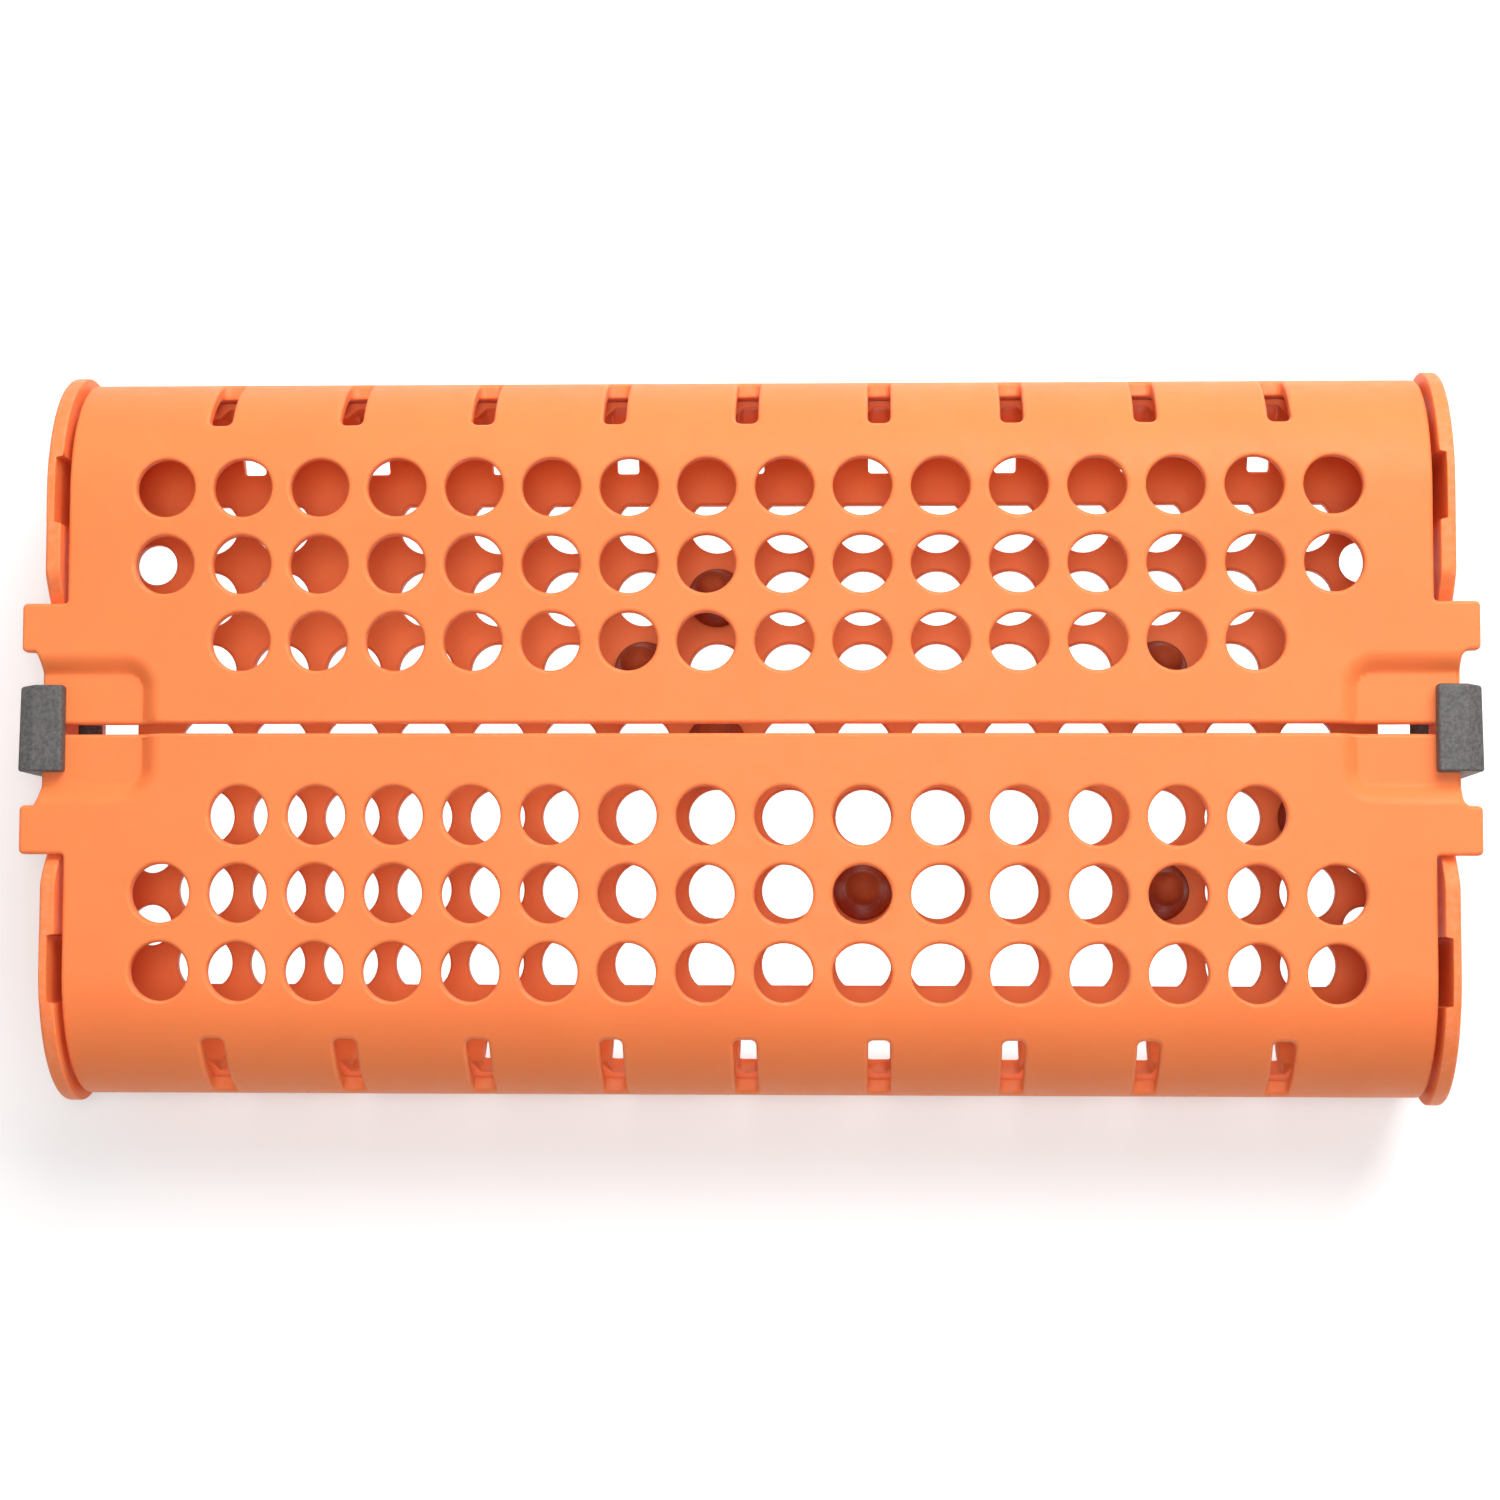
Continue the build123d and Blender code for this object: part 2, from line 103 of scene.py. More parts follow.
class CassetteSizes(bpy.types.PropertyGroup):
    """Sizes that the frame's boxes and joints do not give."""

    hole: length("Hole", "Diameter of the round holes", 8.3)
    end_hole: length("End hole", "Diameter of the floor holes near the ends", 6.1)
    end_inset: length("End inset", "Middle of the end holes, from the end plate", 6.4)
    end_row: length("End row", "Nearest end holes, from the middle", 16.4)
    end_pitch: length("End pitch", "Distance between neighbouring end holes", 10.9)
    pitch: length("Pitch", "Distance between neighbouring holes", 11)
    columns: IntProperty(name="Columns", description="Holes along the cassette", default=16, min=2)
    first_row: length("First row", "First row of door holes, from the middle", 12.3)
    lid_rows: IntProperty(name="Door rows", description="Rows of holes in each door", default=3, min=1)
    floor_rows: IntProperty(name="Floor rows", description="Rows of floor holes each side of the middle one",
                            default=3, min=1)
    row_cut: length("Row cut", "Straight edge of the outermost floor holes, past the hinge", 2.1)
    slots: IntProperty(name="Slots", description="Slots along each side", default=9, min=1)
    slot_pitch: length("Slot pitch", "Distance between neighbouring slots", 18.857)
    slot: length("Slot", "Width of a slot", 3.2)
    slot_start: length("Slot start", "Inner end of a door slot, outwards of the hinge", 9.7)
    slot_ledge: length("Slot ledge", "Lower end of a door slot, above the hinge", 3.8)
    tub_slot_near: length("Tub slot near", "Inner end of a tub slot, past the hinge", 6.7)
    tub_slot_far: length("Tub slot far", "Outer end of a tub slot, past the hinge", 13.3)
    slot_relief: FloatProperty(name="Slot relief", description="Share of the tub wall taken off over a slot",
                               default=0.7, min=0, max=0.9, subtype="FACTOR")
    notch: FloatProperty(name="Notch", description="Lower edge of the tub's notches for the ears",
                         default=radians(64), subtype="ANGLE")
    inside: length("Inside", "Distance between the end plates", 194.2)
    plate: length("End plate", "Thickness of an end plate", 2.2)
    end_gap: length("End gap", "Gap between a door and an end plate", 0.8)
    lid: length("Door wall", "Thickness of a door", 2.2)
    wall: length("Tub wall", "Thickness of floor and walls", 2)
    roll_gap: length("Roll gap", "Gap between a door's shell and the tub wall", 0.5)
    rest_gap: length("Rest gap", "Gap between a door's roof and the end plates", 0.3)
    fit: length("Fit", "Clearance round latches, ears and swinging tabs", 0.35)
    flare: length("Flare", "How far the tub wall flares outwards at its top", 0.35)
    lip: FloatProperty(name="Lip", description="Reach of a door's shell below its hinge",
                       default=radians(8), subtype="ANGLE")
    rim: length("Rim", "Rounding of the outer edges", 0.6)
    fine_rim: length("Fine rim", "Rounding of the inner edges", 0.25)
    tab_near: length("Tab near", "Side of a lifting tab nearest the middle", 10.9)
    tab_far: length("Tab far", "Side of a lifting tab furthest from the middle", 17.8)
    tab_bevel: length("Tab bevel", "Bevel of a tab's lower far edge", 0.5)
    root_wide: length("Root width", "Arc at a tab's left root, along the door", 0.9)
    root_long: length("Root length", "Arc at a tab's left root, across the door", 3.4)
    tongue: length("Tongue", "Reach of a tongue past the end plate", 0.8)
    recess: length("Recess", "Depth of the lowered stretch under a latch", 2)
    recess_long: length("Recess length", "Flat bottom of the recess, along the door", 10.7)
    recess_wide: length("Recess width", "Flat bottom of the recess, from the middle", 8)
    recess_corner: length("Recess corner", "Corner radius of the recess's flat bottom", 2.6)
    recess_slope: length("Recess slope", "Spread of the recess's sides", 2.9)
    seat: length("Seat", "Lowered stretch of an end plate, from the middle", 11.5)
    boss: length("Boss", "Radius of the hinge bosses", 4.7)
    ear: length("Ear", "Thickness of the hinge ears", 2.4)
    stub: length("Stub", "Radius of the stub pins", 2)
    groove: length("Groove", "Width of the hinge grooves in the end plates", 9.9)
    groove_deep: length("Groove depth", "Depth of the hinge grooves", 1)
    sink: length("Sink", "Opening in the floor under a latch, from the end plate", 3.9)
    sink_deep: length("Sink depth", "How far the opening under a latch runs into the end plate", 0.9)
    window_rise: length("Window rise", "Upper edge of a latch window, above the pin", 10.2)
    leg: length("Leg", "Thickness of a latch's leg", 2.2)
    hook: length("Hook", "Thickness of a latch's hook", 2.4)
    bevel: length("Latch bevel", "Bevel along a latch's outer top edge", 1.9)
    bevel_drop: length("Bevel drop", "Depth of a latch's bevel", 0.7)
    lean: length("Lean", "Outward lean of a latch's face at its rear side", 0.1)
    lean_growth: length("Lean growth", "How much a latch's lean grows to the front side", 0.25)
    side_step: length("Side step", "Step at a latch's rear side, along its bevel", 0.25)
    barrel: length("Barrel", "Radius of a latch's barrel", 2)
    lug: length("Lug", "Radius of the lugs that hold a latch pin", 2.2)
    lug_long: length("Lug length", "Length of the lugs that hold a latch pin", 2.8)
    post_base: length("Post base", "Radius of a post at the floor", 4.45)
    post_lip: length("Post lip", "Radius of the lip under the floor", 4.9)
    post_tip: length("Post tip", "Radius of a post's domed tip", 2.6)
    post_high: length("Post height", "Height of a post above the floor", 15)


class CassetteColours(bpy.types.PropertyGroup):
    """Colours of the cassette and its stage, as linear values."""

    body: tint("Body", "Orange plastic of tub and doors", (0.985, 0.246, 0.075))
    latch: tint("Latch", "Grey plastic of the latches", (0.09, 0.084, 0.083))
    post: tint("Post", "Dark red rubber of the posts", (0.31, 0.056, 0.018))
    pin: tint("Pin", "Steel of the latch pins", (0.62, 0.62, 0.64))
    floor: tint("Floor", "Pale floor", (0.85, 0.85, 0.85))


def unit(vectors):
    return vectors / np.maximum(np.linalg.norm(vectors, axis=-1, keepdims=True), 1e-12)


def ease(value, begin, end):
    """Smooth step from 0 at begin to 1 at end: 3 t squared minus 2 t cubed."""
    share = np.clip((value - begin) / (end - begin), 0, 1)
    return share * share * (3 - 2 * share)


def bend(centre, radii, angles):
    """Corner rows along an ellipse: centre + radii * (cos, sin) of each angle in degrees, not rounded."""
    angle = np.radians(np.asarray(angles, float))
    across, up = centre[0] + radii[0] * np.cos(angle), centre[1] + radii[1] * np.sin(angle)
    return np.stack([across, up, np.zeros(len(angle))], 1).tolist()


def rounded(corners, steps=5):
    """A closed outline and its outward normals, from anticlockwise corners of (across, up, radius).

    The arc of a corner is centred on its bisector, at radius / cos(half the turn) from the corner, and its
    normals turn evenly from the edge before to the edge after. A corner of radius 0 is one point.
    """
    rows = np.array(corners, float)
    corner, radius = rows[:, :2], rows[:, 2:]
    before, after = unit(corner - np.roll(corner, 1, 0)), unit(np.roll(corner, -1, 0) - corner)
    first, last = before[:, ::-1] * (1, -1), after[:, ::-1] * (1, -1)
    cosine = np.clip((first * last).sum(1, keepdims=True), -1, 1)
    side = np.where(before[:, :1] * after[:, 1:] < before[:, 1:] * after[:, :1], -1.0, 1.0)
    centre = corner - side * radius / np.sqrt((1 + cosine) / 2) * unit(first + last)
    sharp = radius[:, 0] == 0
    share = np.where(sharp[:, None], 0.5, np.linspace(0, 1, steps + 1)[None])[..., None]
    turn = np.maximum(np.arccos(cosine), 1e-6)[:, None]
    normal = unit(np.sin((1 - share) * turn) * first[:, None] + np.sin(share * turn) * last[:, None])
    point = centre[:, None] + (side * radius)[:, None] * normal
    keep = ~sharp[:, None] | (np.arange(steps + 1) == 0)[None]
    return point[keep], normal[keep]


def finer(outline, step):
    """The same outline with more points, evenly spread, so that none are further apart than step."""
    point, normal = outline
    reach = np.roll(point, -1, 0) - point
    count = np.maximum(1, np.ceil(np.linalg.norm(reach, axis=1) / step - 1e-6)).astype(int)
    which = np.repeat(np.arange(len(point)), count)
    share = ((np.arange(len(which)) - np.repeat(np.cumsum(count) - count, count)) / count[which])[:, None]
    normal = normal[which] + share * (np.roll(normal, -1, 0) - normal)[which]
    return point[which] + share * reach[which], unit(normal)


def circle(across, up, radius, steps=40):
    """A round outline: centre + radius * (cos, sin), whose normal is (cos, sin)."""
    angle = np.linspace(0, 2 * pi, steps, endpoint=False)
    normal = np.stack([np.cos(angle), np.sin(angle)], 1)
    return np.array([across, up]) + radius * normal, normal


def oblong(across, up, radius):
    """A rectangle with rounded corners, from its low and high coordinates."""
    (left, right), (low, high) = across, up
    return rounded([(left, low, radius), (right, low, radius), (right, high, radius), (left, high, radius)])


def rim_section(thickness, upper, lower, steps=3):
    """Section of an edge from the upper face to the lower: a quarter circle, a wall and a quarter circle.

    A row is the distance into the material, the level, and the normal's sideways and upward parts.
    """
    turn = np.linspace(0, pi / 2, steps + 1)
    sine, cosine = np.sin(turn), np.cos(turn)
    top = np.stack([upper * (1 - sine), thickness - upper * (1 - cosine), sine, cosine], 1)
    low = np.stack([lower * (1 - cosine), lower * (1 - sine), cosine, -sine], 1)
    return np.vstack([top, low])


def lattice(across, up):
    """Every pair of the two lists of coordinates."""
    return np.stack(np.meshgrid(across, up), -1).reshape(-1, 2)


def free_points(grid, loops, gap=0.4 * MM):
    """The grid points in no hole, with no outline in their square of a raster or one beside it.

    The first loop is the sheet's own outline and the others are its holes.
    """
    outline = np.vstack(loops)
    low = outline.min(0) - 3 * gap
    around = lattice((-1, 0, 1), (-1, 0, 1))
    taken = np.round((outline - low) / gap).astype(int)[:, None] + around
    raster = np.zeros(taken.reshape(-1, 2).max(0) + 4, bool)
    raster[taken[..., 0], taken[..., 1]] = True
    own = np.clip(np.round((grid - low) / gap).astype(int), 0, np.array(raster.shape) - 1)
    keep = ~raster[own[:, 0], own[:, 1]]
    for loop in loops[1:]:
        edge, reach = np.roll(loop, -1, 0) - loop, grid[:, None] - loop
        keep &= ~(edge[:, 0] * reach[..., 1] > edge[:, 1] * reach[..., 0]).all(1)
    return grid[keep]


def carried(place, points, normals):
    """Points of a domain (across, up, level) and their normals, carried to the cassette.

    A normal is turned by the cofactors of the placing function's numerical derivative, which keeps it square
    to the surface.
    """
    reach = 1e-6
    across, up, level = ((place(*(points + ahead).T) - place(*(points - ahead).T)) / reach
                         for ahead in reach / 2 * np.eye(3))
    turned = (normals[:, :1] * np.cross(up, level) + normals[:, 1:2] * np.cross(level, across)
              + normals[:, 2:] * np.cross(across, up))
    return place(*points.T), unit(turned)


def sheet(place, thickness, outer, holes, rims, grid=None):
    """A sheet with rounded edges, as (points, faces, normals, edge).

    Its two faces are one triangulation of the domain between the outlines, at both levels, and the rim's
    section is carried round every outline. place carries (across, up, level) to the cassette. Holes are
    convex, and rims are the rounding of the upper and the lower face's edges.
    """
    section = rim_section(thickness, *rims)
    rings, base, start = len(section), 0, 0
    points, normals, faces, edges, flat, levels, owner = [], [], [], [], [], [], []
    loops = [(outer[0], -outer[1])] + list(holes)
    for number, (point, inward) in enumerate(loops):
        count = len(point)
        here = np.arange(count)
        ahead = (here + 1) % count
        spread = point[None] + section[:, :1, None] * inward[None]
        across = -section[:, 2:3, None] * inward[None]
        level, upward = (np.repeat(section[:, column], count).reshape(rings, count, 1) for column in (1, 3))
        points.append(np.concatenate([spread, level], 2).reshape(-1, 3))
        normals.append(np.concatenate([across, upward], 2).reshape(-1, 3))
        row = base + count * np.arange(rings - 1)[:, None]
        below = row + count
        quads = np.stack([row + here, below + here, below + ahead, row + ahead], 2).reshape(-1, 4)
        faces.append(quads if number == 0 else quads[:, ::-1])
        edges.append(np.stack([start + here, start + ahead], 1))
        flat.append(spread[0])
        levels.append(np.stack([base + here, base + (rings - 1) * count + here], 1))
        owner.append(np.full(count, number))
        base, start = base + rings * count, start + count
    if grid is not None:
        inner = free_points(grid, flat)
        count = len(inner)
        for level, upward in ((thickness, 1), (0, -1)):
            points.append(np.column_stack([inner, np.full(count, level)]))
            normals.append(np.tile([0.0, 0.0, upward], (count, 1)))
        flat.append(inner)
        levels.append(np.stack([base + np.arange(count), base + count + np.arange(count)], 1))
        owner.append(np.full(count, -1))
    flat, levels, owner = np.vstack(flat) / MM, np.vstack(levels), np.concatenate(owner)
    result = delaunay_2d_cdt(flat.tolist(), np.vstack(edges).tolist(), [], 1, 1e-6)
    triangles = np.array([ids[0] for ids in result[3]])[np.array(result[2])]
    of = owner[triangles]
    triangles = triangles[~((of[:, 0] > 0) & (of[:, 0] == of[:, 1]) & (of[:, 1] == of[:, 2]))]
    faces += [levels[triangles, 0], levels[triangles, 1][:, ::-1]]
    domain_normals = np.vstack(normals)
    point, normal = carried(place, np.vstack(points), domain_normals)
    return point, faces, normal, np.linalg.norm(domain_normals[:, :2], axis=1)


def turned(profile, axis, centre, steps=64):
    """A shape turned about an axis, as (points, faces, normals, edge).

    The profile has rows of (along, out, corner radius). It is anticlockwise, and open where it starts and
    ends on the axis. A point of it becomes along * axis + out * (cos, sin) across the axis, and its normal
    turns with it.
    """
    closed = profile[0][1] > 0
    point, normal = rounded(profile, 4)
    if not closed:
        point, normal = point[1:-1], normal[1:-1]
    angle = np.linspace(0, 2 * pi, steps, endpoint=False)
    wheel = np.stack([np.ones(steps), np.cos(angle), np.sin(angle)], 1)
    rows = [np.roll(part[:, None, [0, 1, 1]] * wheel, axis, -1).reshape(-1, 3) for part in (point, normal)]
    count = len(point)
    here, row = np.arange(steps), np.arange(count if closed else count - 1)[:, None]
    ahead, below = (here + 1) % steps, (row + 1) % count
    quads = [row * steps + here, below * steps + here, below * steps + ahead, row * steps + ahead]
    faces = [np.stack(quads, 2).reshape(-1, 4)]
    if not closed:
        faces += [here[None], (steps * (count - 1) + here)[None, ::-1]]
    return rows[0] + np.array(centre), faces, rows[1], np.zeros(len(rows[0]))


def flipped(part, signs):
    """The part with its coordinates times the signs; its faces are turned over if that mirrors it."""
    points, faces, normals, edge = part
    mirrored = np.prod(signs) < 0
    return points * signs, [rows[:, ::-1] if mirrored else rows for rows in faces], normals * signs, edge


OTHER_END = np.array([-1, 1, 1])
OTHER_SIDE = np.array([1, -1, 1])


def put(name, parts, material, body, slot, *nodes):
    """Joins parts into one mesh that rides on a body and stands for its nodes; it has no loose points."""
    counts = np.cumsum([0] + [len(part[0]) for part in parts])
    blocks = [rows + first for part, first in zip(parts, counts) for rows in part[1]]
    corners = np.concatenate([rows.ravel() for rows in blocks])
    sizes = np.concatenate([np.full(len(rows), rows.shape[1]) for rows in blocks])
    used, corners = np.unique(corners, return_inverse=True)
    points, normals, edge = (np.concatenate([part[item] for part in parts])[used] for item in (0, 2, 3))
    mesh = bpy.data.meshes.new(name)
    mesh.vertices.add(len(points))
    mesh.vertices.foreach_set("co", points.ravel())
    mesh.loops.add(len(corners))
    mesh.loops.foreach_set("vertex_index", corners.ravel().astype(np.int32))
    mesh.polygons.add(len(sizes))
    mesh.polygons.foreach_set("loop_start", (np.cumsum(sizes) - sizes).astype(np.int32))
    mesh.polygons.foreach_set("use_smooth", np.ones(len(sizes), bool))
    mesh.update(calc_edges=True)
    if mesh.validate():
        raise RuntimeError(f"the mesh of {name} is not sound")
    mesh.normals_split_custom_set_from_vertices(normals.tolist())
    mesh.attributes.new("edge", "FLOAT", "POINT").data.foreach_set("value", edge.astype(np.float32))
    mesh.materials.append(material)
    piece = bpy.data.objects.new(name, mesh)
    bpy.context.scene.collection.objects.link(piece)
    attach(piece, body)
    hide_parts(*nodes)
    return piece


def column_places(s):
    return (np.arange(s.columns) - (s.columns - 1) / 2) * s.pitch


def slot_places(s):
    return (np.arange(s.slots) - (s.slots - 1) / 2) * s.slot_pitch


def both_ways(right):
    """A closed outline that is the same left and right, from the rows of its right half."""
    return rounded(list(right) + [(-across, up, radius) for across, up, radius in right[::-1]])


def lid_place(s):
    """Carries (along, out, level) of the rear door's domain to its roof and shell.

    The roof is flat up to the hinge line, and past it a point turns about the hinge by its distance / the
    outer radius. The walls of openings run straight down up to a turn of 35 degrees, square to the shell at
    50 to 55, and level from 70 on. The recess lowers the roof by its depth times 1 - a smooth step of the
    share of its slope to the power 0.65, which gives a crisp foot and a soft upper edge. At the inner face
    it begins 1 mm further out.
    """
    inner, shown, corner = LID_R - s.lid, s.inside / 2 - s.end_gap - s.recess_long, s.recess_corner

    def place(along, out, level):
        angle, radius = np.maximum((out - PIVOT_Y) / LID_R, 0), inner + level
        upright = np.arcsin(np.clip(LID_R * np.sin(angle) / radius, 0, 1))
        flat = np.arccos(np.clip(LID_R * np.cos(angle) / radius, -1, 1))
        turn = (angle + ease(angle, radians(50), radians(35)) * (upright - angle)
                + ease(angle, radians(55), radians(70)) * (flat - angle))
        far = np.hypot(np.maximum(shown + corner - abs(along), 0),
                       np.maximum(out - s.recess_wide + corner, 0)) - corner
        share = np.clip((far - (1 - level / s.lid) * MM) / s.recess_slope, 0, 1) ** 0.65
        drop = s.recess * ease(share, 1, 0)
        return np.stack([along, np.minimum(out, PIVOT_Y) + radius * np.sin(turn),
                         PIVOT_Z + radius * np.cos(turn) - drop], -1)

    return place


def lid_out(across):
    """Domain coordinate of a point of the door's outer face that lies this far from the middle."""
    turned_out = PIVOT_Y + LID_R * np.arcsin(np.clip((across - PIVOT_Y) / LID_R, -1, 1))
    return np.where(across > PIVOT_Y, turned_out, across)


def lid_parts(s):
    """Roof and shell of the rear door in one sheet, and at each end an ear, a boss and a stub pin."""
    end, plate_out = s.inside / 2 - s.end_gap, s.inside / 2 + s.plate
    lip = PIVOT_Y + LID_R * (pi / 2 + s.lip)
    tongue = plate_out + s.tongue
    right = [(tongue, SLIT_HALF, 0.7 * MM), (tongue, s.tab_near, 1.2 * MM),
             (LID_HIGH.x, s.tab_near, 0.7 * MM), (LID_HIGH.x, s.tab_far, 0.7 * MM),
             (end, s.tab_far, 0.5 * MM), (end, lip, 0.8 * MM)]
    root = bend((-tongue - s.root_wide, s.tab_near - s.root_long), (s.root_wide, s.root_long),
                np.linspace(80, 0, 9))
    left = [(-across, up, radius) for across, up, radius in right[::-1]]
    outline = rounded(right + left[:4] + root + left[5:])
    holes = []
    for row in range(s.lid_rows):
        for across in column_places(s)[1:-1] if row == 0 else column_places(s):
            point, normal = circle(across, s.first_row + row * s.pitch, s.hole / 2, 44)
            holes.append((np.stack([point[:, 0], lid_out(point[:, 1])], 1), normal))
    slot_out = (float(lid_out(PIVOT_Y + s.slot_start)), PIVOT_Y + LID_R * np.arccos(s.slot_ledge / LID_R))
    for across in slot_places(s):
        slot = oblong((across - s.slot / 2, across + s.slot / 2), slot_out, 0.9 * MM)
        holes.append(finer(slot, 1.2 * MM))
    shell = lattice(np.arange(-end, end, 2.4 * MM) + MM, np.arange(PIVOT_Y, lip, 1.25 * MM) + 0.2 * MM)
    # Points close together where the recess bends the roof
    fine = lattice(np.arange(end - 15 * MM, tongue, 0.42 * MM),
                   np.arange(SLIT_HALF, 12 * MM, 0.42 * MM) + 0.6 * MM)
    grid = np.vstack([shell, fine, fine * (-1, 1)])
    parts = [sheet(lid_place(s), s.lid, finer(outline, 1.5 * MM), holes, (s.rim, s.tab_bevel), grid)]
    boss, under = s.boss, PIVOT_Z + LID_R - s.lid
    ear = rounded(bend((PIVOT_Y, PIVOT_Z), (boss, boss), np.linspace(180, 360, 33))
                  + [(PIVOT_Y + boss, under + MM, 0.4 * MM), (PIVOT_Y - boss, under + MM, 0.4 * MM)])
    inset = end - s.ear
    hinge = [sheet(lambda across, up, level: np.stack([inset + level, across, up], -1), s.ear, ear, (),
                   (s.fine_rim, s.fine_rim))]
    shoulder, tip = s.inside / 2 + s.groove_deep - 0.3 * MM, plate_out - 0.2 * MM
    hinge.append(turned([(tip, 0, 0), (tip, s.stub, s.fine_rim), (shoulder, s.stub, s.fine_rim),
                         (shoulder, boss, s.fine_rim), (end - MM, boss, s.fine_rim), (end - MM, 0, 0)],
                        0, (0, PIVOT_Y, PIVOT_Z)))
    return parts + hinge + [flipped(part, OTHER_END) for part in hinge]


def tub_place(s):
    """Carries (along, out, level) of the tub's domain to its floor and quarter-round walls.

    The floor is flat up to the hinge lines, and past them a point turns about the hinge by its distance /
    the wall's outer radius. The walls of openings are upright up to a turn of 30 degrees, and square to the
    wall from 46 on. Level 0 is the underside. The outer face flares near the wall's top, by a smooth step of
    the turn. In line with a slot the inner face is pressed outwards past a turn of 46 degrees: the level is
    cut by a share that steps up smoothly at the slot's sides and with the turn.
    """
    outer, centres = LID_R - s.lid - s.roll_gap, slot_places(s)

    def place(along, out, level):
        angle = np.maximum((abs(out) - PIVOT_Y) / outer, 0)
        beside = abs(along[:, None] - centres).min(1) - s.slot / 2
        press = s.slot_relief * ease(beside, 0.25 * MM, 0.05 * MM) * ease(angle, radians(46), radians(54))
        flare = s.flare * ease(angle, radians(68), radians(82)) * (1 - level / s.wall)
        radius = outer - level * (1 - press) + flare
        upright = np.arcsin(np.clip(outer * np.sin(angle) / radius, 0, 1))
        turn = angle + ease(angle, radians(46), radians(30)) * (upright - angle)
        across = np.minimum(abs(out), PIVOT_Y) + radius * np.sin(turn)
        return np.stack([along, np.sign(out) * across, PIVOT_Z - radius * np.cos(turn)], -1)

    return place


def tub_shell(s):
    """Floor and walls in one sheet, with the holes, the slots and the notches for the ears."""
    outer = LID_R - s.lid - s.roll_gap
    top, notch = PIVOT_Y + outer * pi / 2, PIVOT_Y + outer * s.notch
    end, ear = s.inside / 2 + 0.6 * MM, s.inside / 2 - s.end_gap - s.ear - s.fit
    sink, half = s.inside / 2 - s.sink, LATCH_HIGH.y + s.fit
    upper = [(end, half, 0.6 * MM), (end, notch, 0.6 * MM), (ear, notch, 0.8 * MM), (ear, top, 0.6 * MM)]
    lower = [(across, -up, radius) for across, up, radius in upper[::-1]]
    middle = [(sink, -half, 0.5 * MM), (sink, half, 0.5 * MM)]
    outline = both_ways(lower + middle + upper)
    holes = []
    # The outermost holes are cut straight; their arcs end 9 degrees short of the small round corners
    cut, far_row = PIVOT_Y + s.row_cut - s.floor_rows * s.pitch, s.floor_rows * s.pitch
    edge = np.degrees(np.arcsin(cut / (s.hole / 2)))
    corner = [s.hole / 2 * np.cos(np.radians(edge)) - 0.06 * MM, cut, 0.35 * MM]
    arc = bend((0, 0), (s.hole / 2,) * 2, np.linspace(180 - edge + 9, 360 + edge - 9, 27))
    trimmed = np.vstack([arc, corner, np.array(corner) * (-1, 1, 1)])
    for column, across in enumerate(column_places(s)):
        for row in range(-s.floor_rows, s.floor_rows + 1):
            if (column, row) in BLANKS:
                continue
            if abs(row) == s.floor_rows:
                point, normal = rounded(trimmed + (across, far_row, 0))
                holes.append((point, normal) if row > 0 else (point[::-1] * (1, -1), normal[::-1] * (1, -1)))
            else:
                holes.append(circle(across, row * s.pitch, s.hole / 2, 36))
    ups = np.array([s.end_row, s.end_row + s.end_pitch])
    for across in (s.end_inset - s.inside / 2, s.inside / 2 - s.end_inset):
        holes += [circle(across, up, s.end_hole / 2, 32) for up in (*-ups[::-1], *ups)]
    low, high = (PIVOT_Y + outer * np.arcsin(reach / outer) for reach in (s.tub_slot_near, s.tub_slot_far))
    for across in slot_places(s):
        for span in ((low, high), (-high, -low)):
            slot = oblong((across - s.slot / 2, across + s.slot / 2), span, 0.5 * MM)
            holes.append(finer(slot, 1.2 * MM))
    rows = np.arange(PIVOT_Y, top, 1.3 * MM) + 0.4 * MM
    grid = lattice(np.arange(-end, end, 2.4 * MM) + MM, np.concatenate([rows, -rows]))
    # More points in line with the slots, where the wall is thinned
    sides = np.concatenate([slot_places(s) + side * MM for side in (-1.9, -1.66, 0, 1.66, 1.9)])
    rows = np.arange(PIVOT_Y + outer * radians(42), top, 0.9 * MM)
    grid = np.vstack([grid, lattice(sides, np.concatenate([rows, -rows]))])
    return sheet(tub_place(s), s.wall, finer(outline, 1.6 * MM), holes, (s.rim * 0.8, s.fine_rim), grid)


